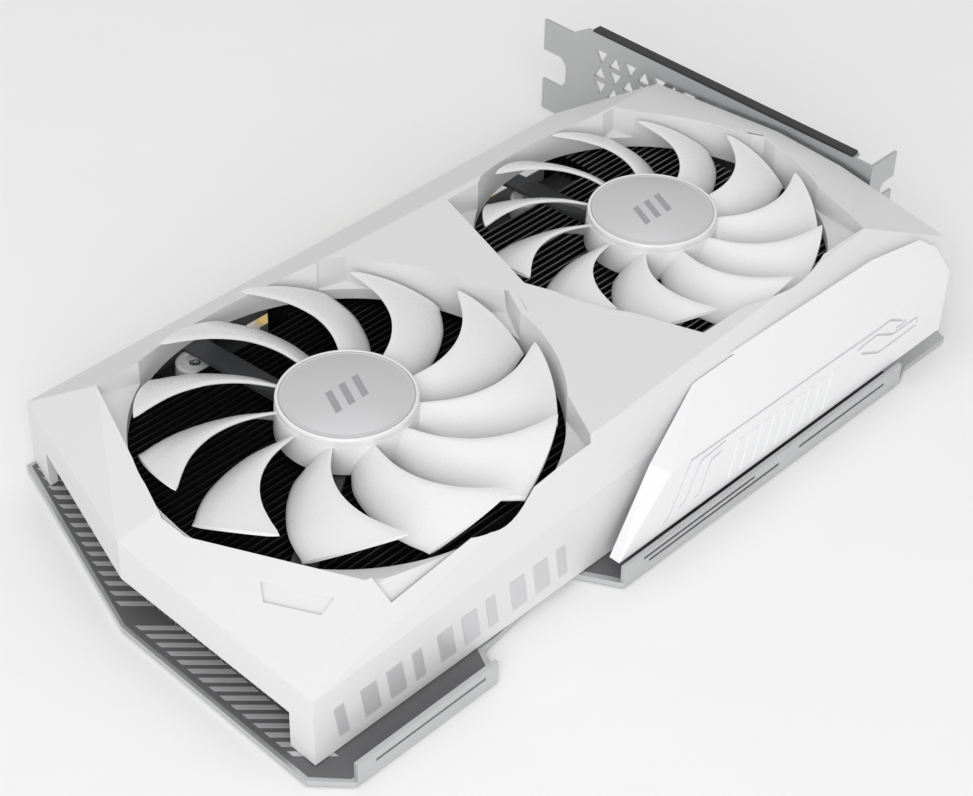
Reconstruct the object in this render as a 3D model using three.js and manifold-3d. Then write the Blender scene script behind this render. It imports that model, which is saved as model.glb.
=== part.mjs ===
// Dual-fan add-in graphics card, lying on its back cover with the fans facing up.
// Millimetres, +Z up. Drawn about the bracket-end fan axis, then centred on its bounding box.
import * as THREE from 'three';
import { mergeVertices } from 'three/addons/utils/BufferGeometryUtils.js';
import { ConvexGeometry } from 'three/addons/geometries/ConvexGeometry.js';
import Module from 'manifold-3d';

const wasm = await Module();
wasm.setup();

// ---- driving dimensions (mm) ----
const SHIFT = [51.15, -15.3];        // drawing origin -> bounding-box centre in plan
const TOTAL_H = 41.5;               // back cover underside to shroud plateau
const FAN_GAP = 109;                // distance between the two fan axes
const TAIL_X = -FAN_GAP, FRONT_X = 0;
const BACK_T = 1.5;                 // back cover sheet
const PCB_Z = 3.5, PCB_T = 1.6;     // circuit board underside and thickness
const WALL = 2.2;                   // shroud wall
const FINGER_Y = 70.6;              // shroud wall on the edge-connector side
const NEAR_Y = -53;                 // shroud wall on the panel side
const PANEL_Y = -60.6;              // outer face of the side panel
const FLANGE_Y = -62.5;             // outer face of the back cover's turned-up edge
const END_X = 58.5;                 // shroud end at the bracket
const STEP = 2.8;                   // depth of the polygon recess round each fan
const RING_Z = 29.82;                // lower rim of each fan shroud ring
const TAIL_OPEN = 51.4, FRONT_OPEN = 46.4;   // shroud ring bores (radius)
const TAIL_TIP = 49.4, FRONT_TIP = 44.2;     // blade tip radii
const BLADES = 11, SHAFT_R = 1.5;
const HUB_R = 17, HUB_TOP = 40.4, HUB_LOW = 30.2, BADGE_R = 15.9;
const BRACKET_X = 59.6, BRACKET_T = 0.9;     // outer face side of the slot bracket
const BRACKET_TOP = 38.74, TONGUE_END = 93.1, FLANGE_FOLD = -27.2;
const FIN_PITCH = 2.0, FIN_T = 0.4, FIN_TOP = 28.4;

// ---- materials ----
const MAT = {
  white: ['#e9e9ea', 0.45, 0.0], gloss: ['#f3f3f4', 0.2, 0.0], silver: ['#b9babd', 0.4, 0.6],
  alu: ['#c3c4c6', 0.45, 0.9], dark: ['#1b1c1e', 0.6, 0.1], steel: ['#b4b6b8', 0.38, 1.0],
  gold: ['#c9a24b', 0.35, 1.0], copper: ['#b5693c', 0.35, 1.0], die: ['#3a3d42', 0.2, 0.3],
  pcb: ['#15171a', 0.55, 0.05], black: ['#101112', 0.5, 0.0], grey: ['#8e9094', 0.5, 0.4],
  finblack: ['#17181a', 0.5, 0.6],
};
const group = new THREE.Group();

// ---- helpers ----
function solid(geo) {
  const g = geo.clone();
  g.deleteAttribute('normal');
  if (g.attributes.uv) g.deleteAttribute('uv');
  const m = mergeVertices(g, 1e-4);
  const index = m.index ? m.index.array : [...Array(m.attributes.position.count).keys()];
  return new wasm.Manifold(new wasm.Mesh({
    numProp: 3, vertProperties: new Float32Array(m.attributes.position.array),
    triVerts: new Uint32Array(index),
  }));
}
function geometry(man) {
  const mesh = man.getMesh();
  const g = new THREE.BufferGeometry();
  g.setAttribute('position', new THREE.BufferAttribute(new Float32Array(mesh.vertProperties), 3));
  g.setIndex(new THREE.BufferAttribute(new Uint32Array(mesh.triVerts), 1));
  g.computeVertexNormals();
  return g;
}
function add(name, shape, matName) {
  const g = shape.isBufferGeometry ? shape.clone() : geometry(shape);
  g.translate(SHIFT[0], SHIFT[1], 0);
  const [color, roughness, metalness] = MAT[matName];
  const mesh = new THREE.Mesh(g, new THREE.MeshStandardMaterial({ color, roughness, metalness }));
  mesh.name = name;
  group.add(mesh);
}
// axis-aligned block from its two opposite corners
function block(x0, x1, y0, y1, z0, z1) {
  const g = new THREE.BoxGeometry(x1 - x0, y1 - y0, z1 - z0);
  g.translate((x0 + x1) / 2, (y0 + y1) / 2, (z0 + z1) / 2);
  return solid(g);
}
function disc(x, y, z0, z1, r, seg = 32, r2 = r) {
  const g = new THREE.CylinderGeometry(r2, r, z1 - z0, seg);
  g.rotateX(Math.PI / 2);
  g.translate(x, y, (z0 + z1) / 2);
  return solid(g);
}
// flat outline (x, y) extruded between two heights
function plate(outline, z0, z1) {
  const shape = new THREE.Shape(outline.map(([x, y]) => new THREE.Vector2(x, y)));
  const g = new THREE.ExtrudeGeometry(shape, { depth: z1 - z0, bevelEnabled: false });
  g.translate(0, 0, z0);
  return solid(g);
}
// flat outline (y, z) extruded along x
function slab(outline, x0, x1) {
  const shape = new THREE.Shape(outline.map(([y, z]) => new THREE.Vector2(y, z)));
  const g = new THREE.ExtrudeGeometry(shape, { depth: x1 - x0, bevelEnabled: false });
  g.applyMatrix4(new THREE.Matrix4().set(0, 0, 1, x0, 1, 0, 0, 0, 0, 1, 0, 0, 0, 0, 0, 1));
  return solid(g);
}
function hull(points) {
  return solid(new ConvexGeometry(points.map((p) => new THREE.Vector3(...p))));
}
function lathe(profile, x, y, seg = 40) {
  const g = new THREE.LatheGeometry(profile.map(([r, z]) => new THREE.Vector2(r, z)), seg);
  g.rotateX(Math.PI / 2);
  g.translate(x, y, 0);
  return solid(g);
}
const join = (first, ...rest) => rest.reduce((sum, s) => sum.add(s), first);
const cut = (first, ...rest) => rest.reduce((left, s) => left.subtract(s), first);

// ---- shroud ----
const FOOT = BACK_T + 0.4;
const shroudPlan = [[-150.5, FINGER_Y], [-168.5, 12.6], [-169.1, NEAR_Y], [END_X, NEAR_Y],
  [END_X, 47.6], [40, FINGER_Y]];
const shroudTop = [[-147.4, 44.6, 38.9], [-161, 5, 34], [-146.5, -47.5, 38.7], [-76, -50, 40.6],
  [-32, -47, 40.2], [33.5, -44, 39.6], [48.5, 1, 40.8], [29.5, 40, TOTAL_H - 0.4],
  [-78.4, 42.2, TOTAL_H], [-36, 39.6, TOTAL_H], [-53, 0, TOTAL_H]];
const shroudRim = [[-150.5, FINGER_Y, 20.5], [-168.5, 12.6, 24], [-169.1, NEAR_Y, 21.4],
  [END_X, NEAR_Y, 29.6], [END_X, 4, 36.4], [END_X, -18, 35.3], [END_X, 47.6, 33],
  [40, FINGER_Y, 20.5], [-60, NEAR_Y, 18.8]];
const bulge = [[-58, NEAR_Y + 1, 26], [-58, NEAR_Y + 1, 8], [-46, -57.7, 10], [-46, -57.7, 22],
  [END_X, -57.7, 28.1], [END_X, -57.7, 11.5], [END_X, NEAR_Y + 1, 30], [END_X, NEAR_Y + 1, 11.5]];
function shell(inset) {
  const k = [-55, 8];
  const sx = 1 - inset / 112, sy = 1 - inset / 60;
  const fit = ([x, y, z]) => [k[0] + (x - k[0]) * sx, k[1] + (y - k[1]) * sy, z - inset];
  const foot = shroudPlan.map(([x, y]) => [x, y, inset ? -5 + inset : FOOT]);
  return hull([...shroudTop, ...shroudRim, ...foot].map(fit));
}
const tailRecess = [[-147.4, 44.6], [-162, 4], [-162, -4], [-147.5, -46.5], [-143.5, -50.4],
  [-80, -50.4], [-54, 0.6], [-72.6, 39.2], [-79, 42.2]];
const frontRecess = [[-36.3, 39.2], [29.2, 39.2], [47.8, 0.6], [33.6, -43.4], [-31.5, -43.4], [-48.8, 0]];
// an opening's own outline grown about its fan axis
const grown = (outline, x, by) => outline.map(([px, py]) => {
  const k = 1 + by / Math.hypot(px - x, py);
  return [x + (px - x) * k, py * k];
});
// stepped ledge round a fan opening: it follows the outer surface, STEP lower, with a ring wall below
function fanBezel(outer, x, bore, recess) {
  const floor = plate(grown(recess, x, 2), 24, 60).intersect(outer)
    .subtract(outer.translate([0, 0, -STEP - WALL]));
  return floor.add(disc(x, 0, RING_Z, 60, bore + 1.8, 64).intersect(outer));
}
function shroud() {
  const outer = join(shell(0), hull(bulge));
  const lowered = outer.translate([0, 0, -STEP]);
  const fans = [[TAIL_X, TAIL_OPEN, tailRecess], [FRONT_X, FRONT_OPEN, frontRecess]];
  let body = cut(outer, shell(WALL), block(-56, END_X + 1, -55.6, -40, -5, 20));
  for (const [x, bore, recess] of fans) body = body.add(fanBezel(outer, x, bore, recess));
  for (const [x, bore, recess] of fans) {
    body = cut(body, plate(recess, 24, 60).subtract(lowered), disc(x, 0, -10, 60, bore, 64));
  }
  // tail outlet, edge-connector relief, bracket-end outlet
  body = cut(body, block(-190, -140, -45, 60, -5, 12.5), block(-82, 46, 60, 80, -5, 9),
    block(18, 70, 44, 80, -5, 13));
  body = cut(body, block(50, 70, -50, 66, -5, 27), block(40, 70, -70, -40, -5, 11.5));
  return body.decompose().sort((a, b) => b.volume() - a.volume())[0];
}
const shroudBody = shroud();
add('shroud', shroudBody, 'white');

// ---- side panel ----
const panelPoints = [[-79, PANEL_Y, 6.8], [51, PANEL_Y, 6.8], [-62, PANEL_Y, 24.5], [51, PANEL_Y, 26],
  [-66, -57, 27.5], [-42, -50.6, 37.4], [26, -51.8, 37.4], [46, -53, 34.5], [51, -55.5, 31],
  [-79, -57.5, 6.8], [51, -50, 6.8], [-42, -48, 30], [46, -48, 30]];
function sidePanel() {
  const keep = join(shell(0), hull(bulge)).translate([0, -0.25, 0]);
  const body = cut(hull(panelPoints), keep, block(-50, 60, -58, -40, -5, 12));
  return body.decompose().sort((a, b) => b.volume() - a.volume())[0];
}
add('side_panel', sidePanel(), 'gloss');

// ---- back cover with turned-up edges ----
const backOutline = [[-153, 70.7], [-172, 9.6], [-173.3, -54.6], [-166, FLANGE_Y], [-122, FLANGE_Y],
  [-118, -54], [-86, -50], [-79, FLANGE_Y], [32, FLANGE_Y], [37, -60.5], [55, -60.5], [57.5, -55],
  [57.5, 66], [18, 66], [16, 70.7]];
const screwSpots = [[-122, -40], [-122, 60], [20, -40], [48, 48]];
function backplate() {
  const t = BACK_T;
  let body = join(plate(backOutline, 0, t), block(-165.5, -122, FLANGE_Y, FLANGE_Y + 1.2, 0, 6.5),
    block(-79, 31.5, FLANGE_Y, FLANGE_Y + 1.2, 0, 6.5));
  for (const [x, y] of screwSpots) {
    body = body.add(disc(x, y, t - 0.2, PCB_Z - 0.02, 3, 20)).subtract(disc(x, y, -1, 9, 1.7, 20));
  }
  // long slots in the turned-up edges
  body = cut(body, block(-160, -126, FLANGE_Y - 1, FLANGE_Y + 2, 3.6, 4.4));
  body = cut(body, block(-70, -20, FLANGE_Y - 1, FLANGE_Y + 2, 3.6, 4.4));
  body = cut(body, block(-12, 24, FLANGE_Y - 1, FLANGE_Y + 2, 3.6, 4.4));
  return body;
}
add('backplate', backplate(), 'alu');
screwSpots.forEach(([x, y], i) => {
  const screw = disc(x, y, 0.15, PCB_Z - 0.1, 1.4, 20);
  add(`backplate_screw_${i + 1}`, screw, 'steel');
});

// ---- circuit board and edge connector ----
const FINGER_X0 = -75, FINGER_X1 = 14, BOARD_EDGE = 69;
add('circuit_board', plate([[-128, -47], [56.5, -47], [56.5, BOARD_EDGE - 4], [44, BOARD_EDGE - 4],
  [40, BOARD_EDGE], [-77, BOARD_EDGE], [-78.5, BOARD_EDGE - 2.5], [-128, BOARD_EDGE - 2.5]], PCB_Z, PCB_Z + PCB_T), 'pcb');
function edgeConnector() {
  const z0 = PCB_Z, z1 = PCB_Z + PCB_T;
  const key = FINGER_X1 - 11.65;
  const strip = plate([[FINGER_X0, BOARD_EDGE + 0.02], [FINGER_X1, BOARD_EDGE + 0.02],
    [FINGER_X1, 76.6], [FINGER_X1 - 1, 77.6], [FINGER_X0 + 1, 77.6], [FINGER_X0, 76.6]], z0, z1);
  return cut(strip, block(key - 0.95, key + 0.95, 71, 80, 0, 9));
}
add('edge_connector', edgeConnector(), 'gold');

// ---- processor, memory, power stage ----
const TOP = PCB_Z + PCB_T;
add('gpu_package', block(-50, -10, -18, 22, TOP, TOP + 1.4), 'pcb');
add('gpu_die', block(-43, -17, -11, 15, TOP + 1.4, TOP + 2.2), 'die');
const memorySpots = [[-68, 14], [-68, -8], [-44, -32], [-24, -32], [-2, -8], [-2, 14]];
memorySpots.forEach(([x, y], i) => {
  add(`memory_chip_${i + 1}`, block(x - 7, x + 7, y - 6, y + 6, TOP, TOP + 1.2), 'black');
});
for (let i = 0; i < 5; i++) {
  add(`power_choke_${i + 1}`, block(-104, -96, -36 + i * 14, -27 + i * 14, TOP, TOP + 5), 'grey');
}
for (let i = 0; i < 3; i++) {
  add(`capacitor_${i + 1}`, disc(26, 4 + i * 12, TOP, TOP + 9, 3.6, 20), 'silver');
}
// eight-way power socket facing the tail outlet
function powerSocket() {
  let body = block(-141, -129.5, 28, 48.6, 2.6, 13.4);
  for (let i = 0; i < 4; i++) {
    for (let j = 0; j < 2; j++) {
      const y = 29 + i * 4.75, z = 3.5 + j * 4.75;
      body = body.subtract(block(-142, -132, y, y + 4.35, z, z + 4.35));
    }
  }
  return body;
}
add('power_socket', powerSocket(), 'black');

// ---- heatsink ----
add('cold_plate', block(-56, -4, -24, 28, TOP + 2.2, TOP + 5.2), 'copper');
const PIPE_Y = [-17, -5, 7, 19];
PIPE_Y.forEach((y, i) => {
  const g = new THREE.CapsuleGeometry(3, 158 - 8 * (i % 2), 5, 16);
  g.rotateZ(Math.PI / 2);
  g.scale(1, 1, 0.8);
  g.translate(-62, y, TOP + 7.7);
  add(`heat_pipe_${i + 1}`, solid(g), 'copper');
});
const FIN_BASE = TOP + 10.3;
function finRow(body, x0, x1, y0, y1, z0, z1) {
  for (let y = y0; y + FIN_T <= y1 + 1e-6; y += FIN_PITCH) {
    body = body.add(block(x0, x1, y, y + FIN_T, z0, z1));
  }
  return body;
}
function finStack(x0, x1, y0, y1) {
  const sheet = block(x0, x1, y0, y1, FIN_BASE, FIN_BASE + 1);
  return finRow(sheet, x0, x1, y0, y1, FIN_BASE + 0.5, FIN_TOP).intersect(shell(WALL + 0.6))
    .intersect(shell(0).translate([0, 0, -STEP - WALL - 0.4]));
}
// the tail stack's fins reach down to the back cover at the outlet
function finEnds(x0, x1, y0, y1) {
  const sheet = block(x0, x1, y0, y1, FIN_BASE - 1.3, FIN_BASE - 0.3);
  return finRow(sheet, x0, x1, y0, y1, 3, FIN_BASE - 0.8);
}
add('fin_stack_tail', finStack(-164.2, -58, -46, 52.4), 'finblack');
add('fin_stack_tail_ends', finEnds(-164.2, -150.5, -46, 12.4), 'finblack');
add('fin_stack_front', finStack(-54, 44, -46, 52.4), 'finblack');

// ---- slot bracket ----
const bracketOutline = [[FLANGE_FOLD, 0], [70, 0], [78, 4], [82, 4.6], [TONGUE_END, 4.6],
  [TONGUE_END, 14.8], [86, 14.8], [84, 17], [84, 22.7], [86, 24.9], [TONGUE_END, 24.9],
  [TONGUE_END, 35.1], [82, 35.1], [76, BRACKET_TOP], [FLANGE_FOLD, BRACKET_TOP]];
const ports = [[-16, 15.2, 5.6], [6, 16.9, 5.5], [28, 16.9, 5.5], [50, 16.9, 5.5]];
const PORT_LOW = TOP + 0.6;
function ioBracket() {
  const x0 = BRACKET_X, x1 = BRACKET_X + BRACKET_T;
  let body = join(slab(bracketOutline, x0, x1),
    block(x0, 71, FLANGE_FOLD, FLANGE_FOLD + BRACKET_T, 0, BRACKET_TOP),
    block(x0, x1 + 2.4, -20.6, 74.4, BRACKET_TOP - BRACKET_T, BRACKET_TOP));
  // screw notches at the one-slot pitch
  for (const z of [8.3, 28.62]) {
    const notch = new THREE.CylinderGeometry(2.2, 2.2, 8, 20);
    notch.translate(67.4, FLANGE_FOLD, z);
    body = cut(body, solid(notch), block(67.4, 80, FLANGE_FOLD - 4, FLANGE_FOLD + 4, z - 2.2, z + 2.2));
  }
  for (const [y, w, h] of ports) {
    body = body.subtract(block(50, 70, y - w / 2, y + w / 2, PORT_LOW, PORT_LOW + h));
  }
  // rows of triangular outlets in the upper slot
  for (let j = 0; j < 3; j++) {
    for (let i = 0; i < 15; i++) {
      const y = -8 + i * 5.6, z = 21.2 + j * 5.2, up = (i + j) % 2 ? 1 : -1;
      const foot = z - 2 * up, tip = z + 2.1 * up;
      body = body.subtract(slab([[y - 2.3, foot], [y + 2.3, foot], [y, tip]], x0 - 2, x1 + 2));
    }
  }
  return body;
}
add('io_bracket', ioBracket(), 'steel');
add('bracket_gasket', block(BRACKET_X + 0.1, BRACKET_X + 3.1, -20, 74, BRACKET_TOP + 0.02,
  BRACKET_TOP + 0.7), 'black');
ports.forEach(([y, w, h], i) => {
  const z = PORT_LOW, x0 = 45, x1 = BRACKET_X - 0.1;
  const shell0 = block(x0, x1, y - w / 2 - 0.5, y + w / 2 + 0.5, z - 0.5, z + h + 0.5);
  const bore = block(x0 + 2, x1 + 1, y - w / 2 + 0.3, y + w / 2 - 0.3, z + 0.3, z + h - 0.3);
  const reach = w / 2 - 2.4, mid = z + h / 2;
  const tongue = block(x0 + 1, x1 - 2.5, y - reach, y + reach, mid - 0.4, mid + 0.4);
  add(`video_port_${i + 1}`, join(cut(shell0, bore), tongue), 'steel');
});

// ---- fans ----
// one blade: a thin curved sheet between a leading edge high up and a trailing edge low down
function blade(tip, k) {
  const g = new THREE.BoxGeometry(1, 1, 1, 6, 4, 1);
  const p = g.attributes.position;
  const edge = [-46, -44.6, -41.8, -37.7, -32.3, -25.6, -19.5];
  for (let n = 0; n < p.count; n++) {
    const u = p.getX(n) + 0.5, v = 0.5 - p.getY(n), w = p.getZ(n);
    const r = 16.2 + u * (tip - 16.2);
    const s = Math.min(5.999, u * 6), e = Math.floor(s);
    const lead = edge[e] + (edge[e + 1] - edge[e]) * (s - e);
    const chord = 19.5 + 7.5 * u;
    const a = THREE.MathUtils.degToRad(lead - v * chord + k * 360 / BLADES);
    const high = 37.9 + 1.4 * u, drop = 6.6 + 0.7 * u;
    const z = high - drop * (0.5 * v + 0.5 * v * v) + w * 1.1;
    p.setXYZ(n, r * Math.cos(a), r * Math.sin(a), z);
  }
  return solid(g);
}
function rotor(x, tip) {
  const wall = 1.6;
  let body = lathe([[0, HUB_TOP - 2], [HUB_R - wall, HUB_TOP - 2], [HUB_R - wall, HUB_LOW],
    [HUB_R + 0.6, HUB_LOW], [HUB_R, HUB_TOP - 0.7], [HUB_R - 0.3, HUB_TOP], [0, HUB_TOP]], 0, 0, 40);
  for (let k = 0; k < BLADES; k++) body = body.add(blade(tip, k));
  body = cut(body, disc(0, 0, HUB_TOP - 0.5, HUB_TOP + 1, BADGE_R + 0.2, 40));
  return body.translate([x, 0, 0]);
}
function fanMount(x, bore) {
  let body = disc(x, 0, 28.6, 29.8, 12, 32);
  for (let i = 0; i < 3; i++) {
    const arm = new THREE.BoxGeometry(bore - 7, 6, 1.2);
    arm.translate((bore + 9) / 2, 0, 29.2);
    arm.rotateZ(THREE.MathUtils.degToRad(95 + i * 120));
    arm.translate(x, 0, 0);
    body = body.add(solid(arm));
  }
  return body;
}
// wound core inside the hub, with a sleeve bearing for the shaft
function stator(x) {
  return cut(disc(x, 0, 29.82, 36.4, 13, 36), disc(x, 0, 20, 40, SHAFT_R + 0.05, 24));
}
const fans = [['tail', TAIL_X, TAIL_OPEN, TAIL_TIP], ['front', FRONT_X, FRONT_OPEN, FRONT_TIP]];
for (const [name, x, bore, tip] of fans) {
  add(`${name}_fan_rotor`, rotor(x, tip), 'white');
  add(`${name}_fan_badge`, disc(x, 0, HUB_TOP - 0.48, HUB_TOP + 0.05, BADGE_R, 40), 'silver');
  add(`${name}_fan_shaft`, disc(x, 0, 30.4, HUB_TOP - 2.02, SHAFT_R, 24), 'steel');
  add(`${name}_fan_stator`, stator(x), 'dark');
  add(`${name}_fan_mount`, fanMount(x, bore), 'dark');
}

export default group;
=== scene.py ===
import bpy
import bmesh
import math
from mathutils import Euler, Matrix, Vector


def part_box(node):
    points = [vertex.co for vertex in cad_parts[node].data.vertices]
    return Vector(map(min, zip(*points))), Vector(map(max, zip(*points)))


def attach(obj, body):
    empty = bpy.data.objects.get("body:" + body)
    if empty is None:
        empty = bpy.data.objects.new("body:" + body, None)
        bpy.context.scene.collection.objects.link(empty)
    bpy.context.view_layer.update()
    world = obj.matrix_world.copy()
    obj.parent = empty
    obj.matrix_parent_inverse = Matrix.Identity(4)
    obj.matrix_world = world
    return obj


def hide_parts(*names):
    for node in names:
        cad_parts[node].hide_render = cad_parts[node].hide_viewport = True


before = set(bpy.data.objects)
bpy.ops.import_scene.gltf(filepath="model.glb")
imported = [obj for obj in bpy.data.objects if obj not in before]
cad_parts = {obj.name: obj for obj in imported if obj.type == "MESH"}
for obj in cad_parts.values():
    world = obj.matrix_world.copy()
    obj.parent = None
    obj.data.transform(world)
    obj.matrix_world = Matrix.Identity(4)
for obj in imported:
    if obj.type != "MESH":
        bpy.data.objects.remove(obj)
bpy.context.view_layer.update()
MM = 0.001


def middle(node):
    lo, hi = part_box(node)
    return (lo + hi) / 2


# ---- frame: the drawing origin is the bracket-end fan axis ----
OX, OY = middle("front_fan_badge").x / MM, middle("front_fan_badge").y / MM
TAIL_X = middle("tail_fan_badge").x / MM - OX
HUB_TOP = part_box("tail_fan_badge")[1].z / MM - 0.05
TOTAL_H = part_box("shroud")[1].z / MM


def at(x, y, z):
    return Vector(((x + OX) * MM, (y + OY) * MM, z * MM))


# ---- camera ----
CAM_AT = (-0.32862, -0.31266, 0.36585)
CAM_TURN = (50.893, -1.167, -46.007)  # degrees about X, Y and Z
LENS, SENSOR = 82.1, 36.0
cam_data = bpy.data.cameras.new("camera")
cam_data.lens = LENS
cam_data.sensor_width = SENSOR
cam_data.clip_start = 0.01
camera = bpy.data.objects.new("camera", cam_data)
turn = Euler([math.radians(a) for a in CAM_TURN])
camera.matrix_world = Matrix.LocRotScale(Vector(CAM_AT), turn, None)
bpy.context.scene.collection.objects.link(camera)
bpy.context.scene.camera = camera


# ---- materials ----
def material(name, colour, rough, metal=0.0, coat=0.0, grain=900.0, bump=0.02, vary=0.03, brushed=False):
    """A procedural finish: fine grain in the bump, slow drift in colour and roughness."""
    mat = bpy.data.materials.new(name)
    mat.use_nodes = True
    nt = mat.node_tree
    bsdf = nt.nodes["Principled BSDF"]
    bsdf.inputs["Metallic"].default_value = metal
    bsdf.inputs["Coat Weight"].default_value = coat
    bsdf.inputs["Coat Roughness"].default_value = 0.12
    co = nt.nodes.new("ShaderNodeTexCoord")
    scale = nt.nodes.new("ShaderNodeMapping")
    scale.inputs["Scale"].default_value = (1, 14, 14) if brushed else (1, 1, 1)
    nt.links.new(co.outputs["Object"], scale.inputs["Vector"])
    fine = nt.nodes.new("ShaderNodeTexNoise")
    fine.inputs["Scale"].default_value = grain
    fine.inputs["Detail"].default_value = 4.0
    nt.links.new(scale.outputs["Vector"], fine.inputs["Vector"])
    slow = nt.nodes.new("ShaderNodeTexNoise")
    slow.inputs["Scale"].default_value = 38.0
    slow.inputs["Detail"].default_value = 3.0
    nt.links.new(co.outputs["Object"], slow.inputs["Vector"])
    tint = nt.nodes.new("ShaderNodeValToRGB")
    low = tuple(c * (1 - vary) for c in colour) + (1,)
    tint.color_ramp.elements[0].position = 0.3
    tint.color_ramp.elements[0].color = low
    tint.color_ramp.elements[1].position = 0.7
    tint.color_ramp.elements[1].color = tuple(colour) + (1,)
    nt.links.new(slow.outputs["Fac"], tint.inputs["Fac"])
    nt.links.new(tint.outputs["Color"], bsdf.inputs["Base Color"])
    span = nt.nodes.new("ShaderNodeMapRange")
    span.inputs["To Min"].default_value = max(0.02, rough - 0.05)
    span.inputs["To Max"].default_value = rough + 0.06
    nt.links.new(fine.outputs["Fac"], span.inputs["Value"])
    nt.links.new(span.outputs["Result"], bsdf.inputs["Roughness"])
    nudge = nt.nodes.new("ShaderNodeBump")
    nudge.inputs["Strength"].default_value = bump
    nudge.inputs["Distance"].default_value = 0.0004
    nt.links.new(fine.outputs["Fac"], nudge.inputs["Height"])
    nt.links.new(nudge.outputs["Normal"], bsdf.inputs["Normal"])
    return mat


WHITE = material("white_satin", (0.72, 0.72, 0.725), 0.42, grain=2600, bump=0.05, vary=0.015)
GLOSS = material("white_gloss", (0.80, 0.80, 0.81), 0.18, coat=0.5, grain=1500, bump=0.01, vary=0.01)
BLADE = material("white_blade", (0.78, 0.78, 0.785), 0.28, coat=0.25, grain=1800, bump=0.015, vary=0.012)
MARK = material("label_mark", (0.36, 0.36, 0.37), 0.4, metal=0.2, grain=3200, bump=0.02, vary=0.03)
BADGE = material("silver_label", (0.60, 0.60, 0.61), 0.3, metal=0.2, grain=3200, bump=0.03, vary=0.02)
ALU = material("cover_metal", (0.60, 0.605, 0.61), 0.36, metal=0.75, grain=700, bump=0.06, vary=0.04,
               brushed=True)
INNER = material("cover_inner", (0.15, 0.151, 0.155), 0.5, metal=0.2, grain=1400, bump=0.05, vary=0.1)
STRIPE = material("cover_stripe", (0.62, 0.62, 0.63), 0.42, metal=0.4, grain=1400, bump=0.05, vary=0.06)
STEEL = material("bracket_steel", (0.56, 0.565, 0.57), 0.33, metal=0.9, grain=800, bump=0.05, vary=0.04,
                 brushed=True)
BLACK = material("black_nylon", (0.018, 0.018, 0.02), 0.45, grain=1700, bump=0.08, vary=0.15)
MOUNT = material("mount_grey", (0.065, 0.067, 0.07), 0.45, grain=1800, bump=0.08, vary=0.1)
BOARD = material("board_mask", (0.018, 0.02, 0.024), 0.38, grain=500, bump=0.12, vary=0.25)
FIN = material("fin_black", (0.010, 0.010, 0.011), 0.5, metal=0.3, grain=900, bump=0.04, vary=0.15)
# paler grey for the fins' top edges and outlet ends: a painted highlight standing in for light falling on
# them
FIN_EDGE_HIGHLIGHT = material("fin_edge_painted_highlight", (0.30, 0.30, 0.305), 0.4, metal=0.4, grain=900, bump=0.04, vary=0.1)
COPPER = material("copper", (0.55, 0.25, 0.14), 0.3, metal=1.0, grain=900, bump=0.05, vary=0.12)
GOLD = material("gold_contact", (0.83, 0.62, 0.25), 0.25, metal=1.0, grain=900, bump=0.02, vary=0.06)
DIE = material("die_mirror", (0.08, 0.085, 0.1), 0.08, metal=0.6, grain=500, bump=0.01, vary=0.1)
GREY = material("ferrite_grey", (0.19, 0.195, 0.2), 0.5, metal=0.1, grain=1500, bump=0.15, vary=0.1)
CAN = material("can_metal", (0.7, 0.7, 0.71), 0.25, metal=1.0, grain=900, bump=0.03, vary=0.04)


# ---- mesh helpers (drawing millimetres in, row-frame metres out) ----
def new_object(name, mesh, mat=None):
    obj = bpy.data.objects.new(name, mesh)
    bpy.context.scene.collection.objects.link(obj)
    if mat is not None:
        mesh.materials.clear()
        mesh.materials.append(mat)
    return obj


def from_faces(name, points, faces, mat=None):
    mesh = bpy.data.meshes.new(name)
    mesh.from_pydata([at(*p) for p in points], [], faces)
    mesh.validate()
    bm = bmesh.new()
    bm.from_mesh(mesh)
    bmesh.ops.recalc_face_normals(bm, faces=bm.faces)
    bm.to_mesh(mesh)
    bm.free()
    return new_object(name, mesh, mat)


def hull(name, points, flat=1.2):
    """Convex body round the points, with faces within `flat` degrees joined."""
    bm = bmesh.new()
    for p in points:
        bm.verts.new(at(*p))
    done = bmesh.ops.convex_hull(bm, input=bm.verts)
    inside = [v for v in done["geom_interior"] if isinstance(v, bmesh.types.BMVert)]
    bmesh.ops.delete(bm, geom=inside, context="VERTS")
    bmesh.ops.dissolve_limit(bm, angle_limit=math.radians(flat), verts=bm.verts, edges=bm.edges)
    bmesh.ops.recalc_face_normals(bm, faces=bm.faces)
    mesh = bpy.data.meshes.new(name)
    bm.to_mesh(mesh)
    bm.free()
    return new_object(name, mesh)


def prism(name, start, end, mat=None):
    """Solid between two matching outlines."""
    n = len(start)
    faces = [list(range(n))[::-1], list(range(n, 2 * n))]
    faces += [[i, (i + 1) % n, (i + 1) % n + n, i + n] for i in range(n)]
    return from_faces(name, start + end, faces, mat)


def plate(name, outline, z0, z1, mat=None):
    """Flat outline of (x, y) carried along z."""
    return prism(name, [(x, y, z0) for x, y in outline], [(x, y, z1) for x, y in outline], mat)


def slab(name, outline, x0, x1, mat=None):
    """Flat outline of (y, z) carried along x."""
    return prism(name, [(x0, y, z) for y, z in outline], [(x1, y, z) for y, z in outline], mat)


def upright(name, outline, y0, y1, mat=None):
    """Flat outline of (x, z) carried along y."""
    return prism(name, [(x, y0, z) for x, z in outline], [(x, y1, z) for x, z in outline], mat)


def block(name, x0, x1, y0, y1, z0, z1, mat=None):
    return plate(name, [(x0, y0), (x1, y0), (x1, y1), (x0, y1)], z0, z1, mat)


def ring_points(x, y, r, n):
    turns = [2 * math.pi * k / n for k in range(n)]
    return [(x + r * math.cos(a), y + r * math.sin(a)) for a in turns]


def disc(name, x, y, z0, z1, r, n):
    return plate(name, ring_points(x, y, r, n), z0, z1)


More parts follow.
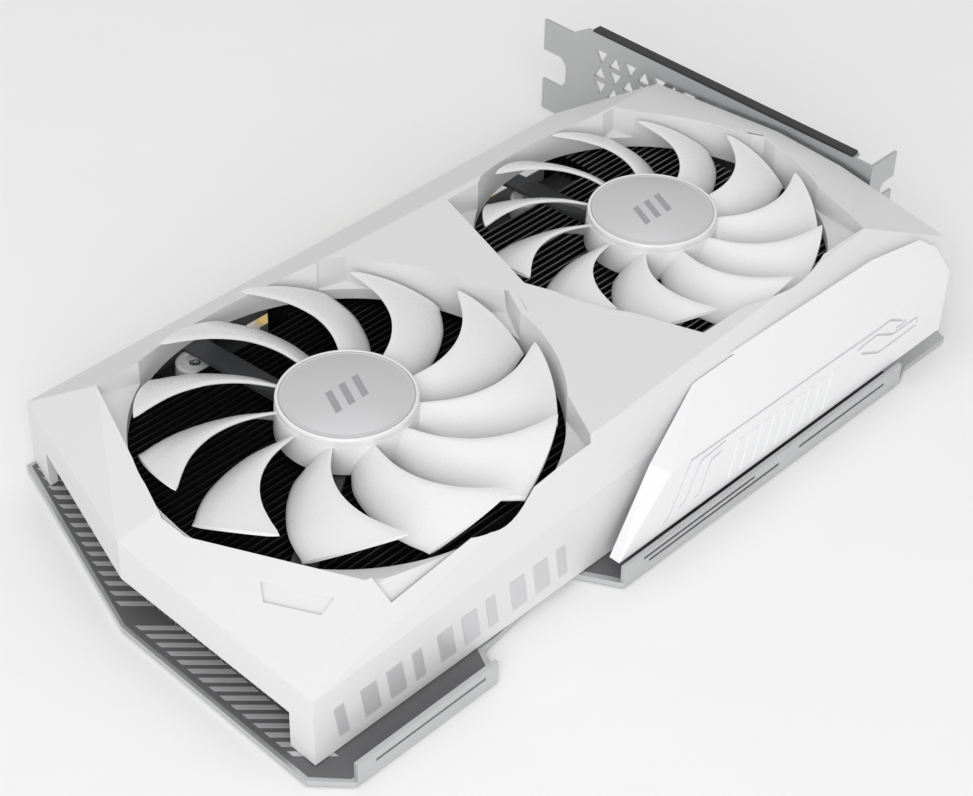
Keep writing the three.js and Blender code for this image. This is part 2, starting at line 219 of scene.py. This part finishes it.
def lathe(name, x, y, profile, n=96, mat=None):
    """Closed profile of (r, z); points on the axis are shared."""
    points, rows = [], []
    for r, z in profile:
        if r < 1e-6:
            rows.append([len(points)] * n)
            points.append((x, y, z))
        else:
            rows.append(list(range(len(points), len(points) + n)))
            points += [(px, py, z) for px, py in ring_points(x, y, r, n)]
    faces = []
    for a, b in zip(rows, rows[1:] + (rows[:1] if profile[0][0] > 1e-6 else [])):
        for k in range(n):
            corners = list(dict.fromkeys([a[k], a[(k + 1) % n], b[(k + 1) % n], b[k]]))
            if len(corners) > 2:
                faces.append(corners)
    return from_faces(name, points, faces, mat)


def paint(obj, mat, name=None):
    obj.data.materials.clear()
    obj.data.materials.append(mat)
    for p in obj.data.polygons:
        p.material_index = 0
    if name:
        obj.name = name
    return obj


def settle(obj):
    """Applies every modifier."""
    deps = bpy.context.evaluated_depsgraph_get()
    mesh = bpy.data.meshes.new_from_object(obj.evaluated_get(deps))
    obj.modifiers.clear()
    old = obj.data
    obj.data = mesh
    bpy.data.meshes.remove(old)
    return obj


def combine(obj, others, how):
    """Joins or cuts the others into the object, and removes them."""
    for other in others:
        mod = obj.modifiers.new("boolean", "BOOLEAN")
        mod.operation = how
        mod.solver = "MANIFOLD"
        mod.object = other
        settle(obj)
        bpy.data.objects.remove(other)
    return obj


def cut(obj, *others):
    return combine(obj, others, "DIFFERENCE")


def join(obj, *others):
    return combine(obj, others, "UNION")


def keep(obj, *others):
    return combine(obj, others, "INTERSECT")


def bevel(obj, width, segments, angle):
    """Joins flat neighbours, then rounds every edge sharper than the angle."""
    bm = bmesh.new()
    bm.from_mesh(obj.data)
    bmesh.ops.remove_doubles(bm, verts=bm.verts, dist=0.00002)
    bmesh.ops.dissolve_limit(bm, angle_limit=math.radians(1), verts=bm.verts, edges=bm.edges)
    bm.to_mesh(obj.data)
    bm.free()
    mod = obj.modifiers.new("bevel", "BEVEL")
    mod.width = width * MM
    mod.segments = segments
    mod.limit_method = "ANGLE"
    mod.angle_limit = math.radians(angle)
    mod.harden_normals = True
    for p in obj.data.polygons:
        p.use_smooth = True
    return settle(obj)


def smooth(obj, angle):
    for p in obj.data.polygons:
        p.use_smooth = True
    obj.data.set_sharp_from_angle(angle=math.radians(angle))
    return obj


def merge(name, objs):
    """Several meshes as one object, with no boolean."""
    bm = bmesh.new()
    mats = []
    for o in objs:
        start = len(bm.faces)
        bm.from_mesh(o.data)
        bm.faces.ensure_lookup_table()
        own = o.data.materials[0]
        if own not in mats:
            mats.append(own)
        for f in bm.faces[start:]:
            f.material_index = mats.index(own)
        bpy.data.objects.remove(o)
    mesh = bpy.data.meshes.new(name)
    bm.to_mesh(mesh)
    bm.free()
    obj = bpy.data.objects.new(name, mesh)
    bpy.context.scene.collection.objects.link(obj)
    for m in mats:
        mesh.materials.append(m)
    return obj


def piece(obj, body, slot, *nodes):
    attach(obj, body)
    if nodes:
        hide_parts(*nodes)
    return obj


# ---- shroud ----
FINGER_Y, NEAR_Y, END_X = 70.6, -53.0, 58.5
FOOT, WALL, STEP, RING_Z = 1.9, 2.2, 2.8, 29.8
TAIL_OPEN, FRONT_OPEN = 51.4, 46.4
FLARE, FLARE_Z = 11, 38  # the ledge slopes up from the bore to this distance and height
PLAN = [(-150.5, FINGER_Y), (-168.5, 12.6), (-169.1, NEAR_Y), (END_X, NEAR_Y), (END_X, 47.6), (40, FINGER_Y)]
TOP = [(-147.4, 44.6, 38.9), (-161, 5, 34), (-146.5, -47.5, 38.7), (-76, -50, 40.6), (-32, -47, 40.2),
       (33.5, -44, 39.6), (48.5, 1, 40.8), (29.5, 40, TOTAL_H - 0.4), (-78.4, 42.2, TOTAL_H),
       (-36, 39.6, TOTAL_H), (-53, 0, TOTAL_H)]
RIM = [(-150.5, FINGER_Y, 20.5), (-168.5, 12.6, 24), (-169.1, NEAR_Y, 21.4), (END_X, NEAR_Y, 29.6),
       (END_X, 4, 36.4), (END_X, -18, 35.3), (END_X, 47.6, 33), (40, FINGER_Y, 20.5), (-60, NEAR_Y, 18.8)]
BULGE = [(-58, NEAR_Y + 1, 26), (-58, NEAR_Y + 1, 8), (-46, -57.7, 10), (-46, -57.7, 22),
         (END_X, -57.7, 28.1), (END_X, -57.7, 11.5), (END_X, NEAR_Y + 1, 30), (END_X, NEAR_Y + 1, 11.5)]
TAIL_RECESS = [(-147.4, 44.6), (-162, 4), (-162, -4), (-147.5, -46.5), (-143.5, -50.4), (-80, -50.4),
               (-54, 0.6), (-72.6, 39.2), (-79, 42.2)]
FRONT_RECESS = [(-36.3, 39.2), (29.2, 39.2), (47.8, 0.6), (33.6, -43.4), (-31.5, -43.4), (-48.8, 0)]


def shell(inset):
    """Faceted outer form of the shroud, or the hollow that leaves a wall of `inset`."""
    sx, sy = 1 - inset / 112, 1 - inset / 60
    low = -5 + inset if inset else FOOT
    points = TOP + RIM + [(x, y, low) for x, y in PLAN]
    return hull("shell", [(-55 + (x + 55) * sx, 8 + (y - 8) * sy, z - inset) for x, y, z in points])


def surface_z(obj, x, y):
    """Height of the object's top surface at a point in plan."""
    _, place, _, _ = obj.ray_cast(at(x, y, 80), Vector((0, 0, -1)))
    return place.z / MM


POCKET = [(-159.3, -26), (-161.7, -29.5), (-156.9, -42.7), (-153.1, -43)]
POCKET_DEPTH = 0.9


def pocket(body):
    """Shallow moulded hollow in the sloping tail face."""
    low = [(x, y, surface_z(body, x, y) - POCKET_DEPTH) for x, y in POCKET]
    cut(body, hull("c", low + [(x, y, z + 6) for x, y, z in low]))


def twin(obj, dz=0.0):
    """Copy of an object, moved along z."""
    copy = bpy.data.objects.new("twin", obj.data.copy())
    bpy.context.scene.collection.objects.link(copy)
    copy.data.transform(Matrix.Translation((0, 0, dz * MM)))
    return copy


def grown(outline, x, by):
    """Outline moved outwards from its fan axis."""
    ks = [1 + by / math.hypot(px - x, py) for px, py in outline]
    return [(x + (px - x) * k, py * k) for (px, py), k in zip(outline, ks)]


def build_shroud():
    outer = join(shell(0), hull("bulge", BULGE))
    body = cut(twin(outer), shell(WALL), block("c", -56, END_X + 1, -55.6, -40, -5, 20))
    fans = ((TAIL_X, TAIL_OPEN, TAIL_RECESS), (0, FRONT_OPEN, FRONT_RECESS))
    for x, bore, recess in fans:
        ledge = keep(plate("f", grown(recess, x, 2), RING_Z, 60), twin(outer))
        wall = keep(disc("f", x, 0, RING_Z, 60, bore + 1.8, 160), twin(outer))
        join(body, ledge, wall)
    for x, bore, recess in fans:
        wide, low = bore + FLARE, RING_Z + 3
        flare = lathe("c", x, 0, [(0, low), (bore, low), (wide, FLARE_Z), (wide, 60), (0, 60)], 160)
        step = cut(plate("c", recess, 24, 60), twin(outer, -STEP))
        cut(body, step, keep(flare, plate("c", recess, 24, 60)), disc("c", x, 0, -10, 60, bore, 160))
    bpy.data.objects.remove(outer)
    cut(body, block("c", -190, -140, -45, 60, -5, 12.5), block("c", -82, 46, 60, 80, -5, 9),
        block("c", 18, 70, 44, 80, -5, 13), block("c", 50, 70, -50, 66, -5, 27),
        block("c", 40, 70, -70, -40, -5, 11.5))
    pocket(body)
    return paint(bevel(body, 0.4, 3, 9), WHITE, "shroud_shell")


piece(build_shroud(), "card", "white", "shroud")

# ---- side panel ----
PANEL_Y = -60.6
PANEL = [(-79, PANEL_Y, 6.8), (51, PANEL_Y, 6.8), (-62, PANEL_Y, 24.5), (51, PANEL_Y, 26), (-66, -57, 27.5),
         (-42, -50.6, 37.4), (26, -51.8, 37.4), (46, -53, 34.5), (51, -55.5, 31), (-79, -57.5, 6.8),
         (51, -50, 6.8), (-42, -48, 30), (46, -48, 30)]
GROOVES = [
    [(25.5, 23.2), (-54.4, 24), (-61, 10.7), (-63, 9.4)],
    [(-41.5, 22.4), (-50.6, 21.6), (-55.3, 12), (-57.4, 11)],
    [(-42.5, 20), (-46.6, 19.5), (-49.6, 11.2), (-51.4, 10.4)],
    [(9, 23.1), (25.5, 23.2), (33.6, 18.9), (29, 18.9)],
    [(12, 20.9), (20, 21.4), (27.6, 17.6), (38.6, 17.4)],
    [(14, 18.6), (22, 14.6), (39, 14.8), (38.6, 17.4)]]


def stroke(xa, za, xb, zb, width, y0, y1):
    """Straight bar in an upright plane, with pointed ends so that bars meet cleanly."""
    run = math.hypot(xb - xa, zb - za)
    ux, uz = (xb - xa) / run, (zb - za) / run
    h = width / 2
    ring = [(xa - ux * h, za - uz * h), (xa + uz * h, za - ux * h), (xb + uz * h, zb - ux * h),
            (xb + ux * h, zb + uz * h), (xb - uz * h, zb + ux * h), (xa - uz * h, za + ux * h)]
    return upright("bar", ring, y0, y1)


def build_panel():
    body = hull("panel_shell", PANEL, flat=2.0)
    solid = join(shell(0), hull("bulge", BULGE))
    for v in solid.data.vertices:
        v.co.y -= 0.3 * MM
    cut(body, solid, block("c", -50, 60, -58, -40, -5, 12))
    for line in GROOVES:
        for (xa, za), (xb, zb) in zip(line, line[1:]):
            cut(body, stroke(xa, za, xb, zb, 0.8, PANEL_Y - 1, PANEL_Y + 0.8))
    return paint(bevel(body, 0.5, 3, 9), GLOSS)


piece(build_panel(), "card", "gloss", "side_panel")


def slanted_row(name, x0, x1, pitch, share, lean, z0, z1, y, mat):
    """Row of leaning raised blocks on a near-side wall; every third one is narrower."""
    blocks = []
    x, k = x0, 0
    while x + pitch * share < x1:
        w = pitch * share * (1 if k % 3 else 0.62)
        ring = [(x, z0), (x + w, z0), (x + w + lean, z1), (x + lean, z1)]
        blocks.append(upright("bar", ring, y - 0.22, y + 0.3, mat))
        x += pitch
        k += 1
    body = merge(name, blocks)
    return bevel(body, 0.12, 2, 30)


piece(slanted_row("panel_ribs", -39, 3, 4.7, 0.66, 2.6, 8.6, 19.6, PANEL_Y, GLOSS), "card", "gloss")
piece(slanted_row("side_band_blocks", -162, -84, 7.8, 0.62, -1.6, 5.6, 15.2, NEAR_Y, BADGE), "card", "silver")

# ---- back cover ----
BACK_T, FLANGE_Y = 1.5, -62.5
BACK = [(-153, 70.7), (-172, 9.6), (-173.3, -54.6), (-166, FLANGE_Y), (-122, FLANGE_Y), (-118, -54),
        (-86, -50), (-79, FLANGE_Y), (32, FLANGE_Y), (37, -60.5), (55, -60.5), (57.5, -55), (57.5, 66),
        (18, 66), (16, 70.7)]
SPOTS = [(-122, -40), (-122, 60), (20, -40), (48, 48)]
EDGE_SLOTS = [(-160, -126, 3.6), (-72, -30, 4.6), (-70, -20, 2.8), (-12, 24, 3.6)]


def build_back():
    body = plate("back_cover", BACK, 0, BACK_T)
    join(body, block("f", -165.5, -122, FLANGE_Y, FLANGE_Y + 1.2, 0, 6.5),
         block("f", -79, 31.5, FLANGE_Y, FLANGE_Y + 1.2, 0, 6.5))
    for x, y in SPOTS:
        join(body, disc("s", x, y, BACK_T - 0.2, 3.45, 3, 32))
        cut(body, disc("s", x, y, -1, 9, 1.7, 32))
    for x0, x1, z in EDGE_SLOTS:
        cut(body, block("c", x0, x1, FLANGE_Y - 1, FLANGE_Y + 2, z, z + 0.8))
    return paint(bevel(body, 0.3, 2, 30), ALU)


piece(build_back(), "card", "cover", "backplate")

STRIPE_PITCH = 3.8
SKIN_TOP = BACK_T + 0.06
NEAR_SKIN_TAIL = [(-150, -61), (-123, -61), (-119, -53), (-119, -40), (-150, -40)]
NEAR_SKIN_FRONT = [(-78, -61), (31, -61), (31, -53), (-84, -50.5)]


def inner_skin():
    """Dark inner face of the cover at the tail, with a zigzag of lighter stripes."""
    edge = [(-152.2, 69.6), (-171, 9.6), (-172.2, -54), (-166, -61)]
    areas = (edge + [(-150, -61), (-150, 69.6)], NEAR_SKIN_TAIL, NEAR_SKIN_FRONT)
    parts = [plate("skin", area, BACK_T, SKIN_TOP, INNER) for area in areas]
    w = STRIPE_PITCH / 2
    for (xa, ya), (xb, yb) in zip(edge, edge[1:3]):
        run = math.hypot(xb - xa, yb - ya)
        for k in range(1, int(run / STRIPE_PITCH)):
            share = k * STRIPE_PITCH / run
            x, y = xa + (xb - xa) * share + 1.5, ya + (yb - ya) * share
            parts.append(plate("stripe", [(x, y), (x, y + w), (x + 7, y + w - 7), (x + 7, y - 7)],
                               BACK_T + 0.04, BACK_T + 0.16, STRIPE))
    return merge("cover_inner_skin", parts)


piece(inner_skin(), "card", "cover")

# ---- fans ----
BLADES, ROOT = 11, 16.3
LEAD = [-46, -45, -43.5, -41, -37.8, -33.8, -29.2, -24, -19.5]  # leading edge, degrees, root to tip
CHORD = [19, 20.5, 21.5, 21.6, 22, 23, 24.5, 26, 27]  # degrees that the blade spans, root to tip


def smooth_list(values, u):
    """Catmull-Rom value at share u of an evenly spaced list."""
    s = min(len(values) - 1.0001, u * (len(values) - 1))
    e = int(s)
    t = s - e
    p = [values[max(0, e - 1)], values[e], values[e + 1], values[min(len(values) - 1, e + 2)]]
    return 0.5 * (2 * p[1] + (p[2] - p[0]) * t + (2 * p[0] - 5 * p[1] + 4 * p[2] - p[3]) * t * t
                  + (3 * p[1] - p[0] - 3 * p[2] + p[3]) * t ** 3)


def blade(tip, turn, nu=26, nv=18):
    """Points and faces of one blade: u runs from root to tip, v from leading to trailing edge."""
    top, low = [], []
    for i in range(nu + 1):
        u = i / nu
        r = ROOT + u * (tip - ROOT)
        for j in range(nv + 1):
            v = j / nv
            a = math.radians(smooth_list(LEAD, u) - v * smooth_list(CHORD, u) + turn)
            z = 37.9 + 1.4 * u - (6.6 + 0.7 * u) * (0.45 * v + 0.55 * v * v)
            t = 0.5 * min(1, 7 * min(v, 1 - v) + 0.35)
            top.append((r * math.cos(a), r * math.sin(a), z + t))
            low.append((r * math.cos(a), r * math.sin(a), z - t))
    w, n = nv + 1, len(top)
    faces = []
    for i in range(nu):
        for j in range(nv):
            a = i * w + j
            faces.append((a, a + 1, a + w + 1, a + w))
            faces.append((a + n, a + w + n, a + w + 1 + n, a + 1 + n))
    rim = [i * w for i in range(nu)] + [nu * w + j for j in range(nv)]
    rim += [i * w + nv for i in range(nu, 0, -1)] + [j for j in range(nv, 0, -1)]
    for a, b in zip(rim, rim[1:] + rim[:1]):
        faces.append((a, b, b + n, a + n))
    return top + low, faces


def build_rotor(name, x, tip):
    points, faces = [], []
    for k in range(BLADES):
        p, f = blade(tip, k * 360 / BLADES)
        faces += [[i + len(points) for i in q] for q in f]
        points += [(px + x, py, pz) for px, py, pz in p]
    blades = from_faces(name + "_blades", points, faces, BLADE)
    smooth(blades, 60)
    T = HUB_TOP
    hub = lathe(name + "_hub", x, 0, [
        (0, T - 0.5), (16.1, T - 0.5), (16.1, T - 0.1), (16.2, T), (16.5, T), (16.8, T - 0.15),
        (16.95, T - 0.5), (16.95, T - 1.5), (16.6, T - 1.65), (16.6, T - 1.95), (17.0, T - 2.1),
        (17.1, T - 2.8), (17.5, 31.2), (17.45, 30.4), (17.2, 30.25), (15.6, 30.25), (15.4, 30.5),
        (15.4, T - 2), (0, T - 2)], 128, BLADE)
    smooth(hub, 50)
    return merge(name, [blades, hub])


def build_badge(name, x):
    T = HUB_TOP
    body = lathe(name, x, 0, [(0, T), (15.0, T), (15.08, T - 0.05), (15.22, T - 0.05), (15.3, T), (15.75, T),
                              (15.9, T - 0.12), (15.9, T - 0.46), (0, T - 0.46)], 128, BADGE)
    smooth(body, 40)
    marks = []
    for mid in (x - 4.2, x, x + 4.2):
        ring = [(mid - 2.6, -3.6), (mid - 0.6, -3.6), (mid + 2.6, 3.6), (mid + 0.6, 3.6)]
        marks.append(bevel(plate("mark", ring, T - 0.1, T + 0.03), 0.02, 1, 30))
        paint(marks[-1], MARK)
    return merge(name, [body] + marks)


for side, x, tip in (("tail", TAIL_X, 49.4), ("front", 0.0, 44.2)):
    piece(build_rotor(side + "_rotor_shape", x, tip), side + "_fan", "white", side + "_fan_rotor")
    piece(build_badge(side + "_badge_shape", x), side + "_fan", "silver", side + "_fan_badge")

# ---- heatsink fins ----
FIN_PITCH, FIN_T, FIN_TOP, BASE = 2.0, 0.34, 28.4, 15.4
END_X0, END_LOW, END_TOP = -150.5, 3.1, 16.5  # the tail fins' lower ends at the outlet


def clip(body, hull_obj):
    """Trims every loose sheet to the inside of a convex body, plane by plane."""
    bm = bmesh.new()
    bm.from_mesh(body.data)
    for face in hull_obj.data.polygons:
        corner = hull_obj.data.vertices[face.vertices[0]].co
        reach = corner.dot(face.normal)
        heights = [v.co.dot(face.normal) for v in bm.verts]
        if max(heights) <= reach or min(heights) >= reach:
            continue
        geom = bm.verts[:] + bm.edges[:] + bm.faces[:]
        bmesh.ops.bisect_plane(bm, geom=geom, plane_co=corner, plane_no=face.normal,
                               clear_outer=True, dist=1e-7)
        bmesh.ops.holes_fill(bm, edges=[e for e in bm.edges if e.is_boundary], sides=0)
    bm.to_mesh(body.data)
    bm.free()
    bpy.data.objects.remove(hull_obj)
    return body


def build_fins(name, x0, x1, node, gap, gap_y):
    """Fins whose top edges carry a painted highlight in a paler grey, open between the two `gap` values
    beyond `gap_y`; the tail fins' outlet ends get the same painted highlight.
    """
    lo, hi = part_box(node)
    y0, y1 = lo.y / MM - OY, hi.y / MM - OY
    sheets = []
    y = y0
    while y + FIN_T + 0.01 < y1:
        spans = [(x0, x1)] if y < gap_y else [(x0, gap[0]), (gap[1], x1)]
        for xa, xb in spans:
            sheets.append(block("fin", xa, xb, y, y + FIN_T, BASE, FIN_TOP - 0.2, FIN))
            # thin paler strip on each fin's top edge: a painted highlight
            sheets.append(block("edge", xa, xb, y, y + FIN_T, FIN_TOP - 0.2, FIN_TOP + 0.05, FIN_EDGE_HIGHLIGHT))
        y += FIN_PITCH
    body = clip(merge(name, sheets), shell(WALL + 0.6))
    if x0 > END_X0:
        return body
    ends = []
    y = y0
    while y < 12:
        ends.append(block("fin", x0 - 3, END_X0, y, y + FIN_T, END_LOW, END_TOP, FIN))
        # thin paler strip on each fin's outlet end: a painted highlight
        ends.append(block("edge", x0 - 3.12, x0 - 2.9, y, y + FIN_T, END_LOW, END_TOP, FIN_EDGE_HIGHLIGHT))
        y += FIN_PITCH
    return merge(name, [body] + ends)


piece(build_fins("tail_fins", -160.5, -58, "fin_stack_tail", (-126, -88), 43), "card", "fins",
      "fin_stack_tail", "fin_stack_tail_ends")
piece(build_fins("front_fins", -54, 44, "fin_stack_front", (-24, 16), 36), "card", "fins", "fin_stack_front")


def fan_frame(name, x, y):
    """Dark bracket with a pale screw post, in the gap in the fins at the connector side."""
    tray = bevel(block("t", x - 18, x + 18, y - 3.5, y + 8.5, 15.5, 21.5), 0.6, 3, 30)
    paint(tray, MOUNT)
    post = lathe("p", x - 4, y, [(1.6, 26.4), (3.4, 26.4), (3.8, 26.9), (4.5, 26.9), (4.9, 26.5), (5.2, 21.4),
                                 (1.6, 21.4)], 48, WHITE)
    smooth(post, 35)
    screw = lathe("s", x - 4, y, [(0, 25.8), (0.8, 25.8), (0.9, 26.2), (1.3, 26.2), (1.55, 25.9),
                                  (1.55, 21.6), (0, 21.6)], 32, STEEL)
    smooth(screw, 35)
    return merge(name, [tray, post, screw])


piece(fan_frame("tail_fan_post", TAIL_X - 2.5, 48), "card", "black")
piece(fan_frame("front_fan_post", 0, 40), "card", "black")

# ---- slot bracket ----
BX, BT, BTOP = 59.6, 0.9, 38.74
FOLD = -27.2
TONGUE = 93.1
BRACKET = [(FOLD, 0), (70, 0), (78, 4), (82, 4.6), (TONGUE, 4.6), (TONGUE, 14.8), (86, 14.8), (84, 17),
           (84, 22.7), (86, 24.9), (TONGUE, 24.9), (TONGUE, 35.1), (82, 35.1), (76, BTOP), (FOLD, BTOP)]
NOTCH_X, NOTCH_R = 67.4, 2.2
PORT_LOW = 5.7
PORTS = [(-16, 15.2, 5.6), (6, 16.9, 5.5), (28, 16.9, 5.5), (50, 16.9, 5.5)]


def build_bracket():
    body = slab("slot_bracket", BRACKET, BX, BX + BT)
    join(body, block("f", BX, 71, FOLD, FOLD + BT, 0, BTOP),
         block("l", BX, BX + BT + 2.4, -20.6, 74.4, BTOP - BT, BTOP))
    for z in (8.3, 28.62):
        cut(body, upright("c", ring_points(NOTCH_X, z, NOTCH_R, 24), FOLD - 4, FOLD + 4),
            block("c", NOTCH_X, 80, FOLD - 4, FOLD + 4, z - NOTCH_R, z + NOTCH_R))
    for y, w, h in PORTS:
        cut(body, block("c", 50, 70, y - w / 2, y + w / 2, PORT_LOW, PORT_LOW + h))
    for j in range(3):
        for i in range(15):
            y, z, up = -8 + i * 5.6, 21.2 + j * 5.2, 1 if (i + j) % 2 else -1
            foot, tip = z - 2 * up, z + 2.1 * up
            cut(body, slab("c", [(y - 2.3, foot), (y + 2.3, foot), (y, tip)], BX - 2, BX + 3))
    return paint(bevel(body, 0.15, 2, 30), STEEL)


piece(build_bracket(), "card", "steel", "io_bracket")

# ---- carried-over nodes ----
FINISH = (("circuit_board", BOARD), ("gpu_package", BOARD), ("edge_connector", GOLD), ("gpu_die", DIE),
          ("cold_plate", COPPER), ("heat_pipe", COPPER), ("memory_chip", BLACK), ("power_choke", GREY),
          ("capacitor", CAN), ("power_socket", BLACK), ("bracket_gasket", BLACK), ("video_port", STEEL),
          ("backplate_screw", STEEL), ("tail_fan_mount", MOUNT), ("front_fan_mount", MOUNT),
          ("tail_fan_stator", MOUNT), ("front_fan_stator", MOUNT), ("tail_fan_shaft", STEEL),
          ("front_fan_shaft", STEEL))
for name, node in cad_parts.items():
    finish = next((mat for start, mat in FINISH if name.startswith(start)), STEEL)
    node.data.materials.clear()
    node.data.materials.append(finish)

# ---- floor and light ----
floor_mesh = bpy.data.meshes.new("floor")
corners = [(-4, -4, -0.0004), (4, -4, -0.0004), (4, 4, -0.0004), (-4, 4, -0.0004)]
floor_mesh.from_pydata(corners, [], [(0, 1, 2, 3)])
PALE = material("floor_pale", (0.9, 0.9, 0.9), 0.7, grain=60, bump=0.01, vary=0.01)
floor = new_object("floor", floor_mesh, PALE)


def lamp(name, place, target, size, power):
    data = bpy.data.lights.new(name, "AREA")
    data.shape = "SQUARE"
    data.size = size
    data.energy = power
    obj = bpy.data.objects.new(name, data)
    obj.location = place
    obj.rotation_euler = (Vector(target) - Vector(place)).to_track_quat("-Z", "Y").to_euler()
    bpy.context.scene.collection.objects.link(obj)


lamp("key", (-0.85, -0.78, 0.6), (0, 0, 0), 0.9, 9.5)
lamp("top", (0.1, 0.2, 1.6), (0, 0, 0), 1.2, 2.5)
world = bpy.data.worlds.new("studio")
world.use_nodes = True
world.node_tree.nodes["Background"].inputs["Color"].default_value = (1, 1, 1, 1)
world.node_tree.nodes["Background"].inputs["Strength"].default_value = 0.66
bpy.context.scene.world = world
bpy.context.scene.view_settings.view_transform = "Standard"
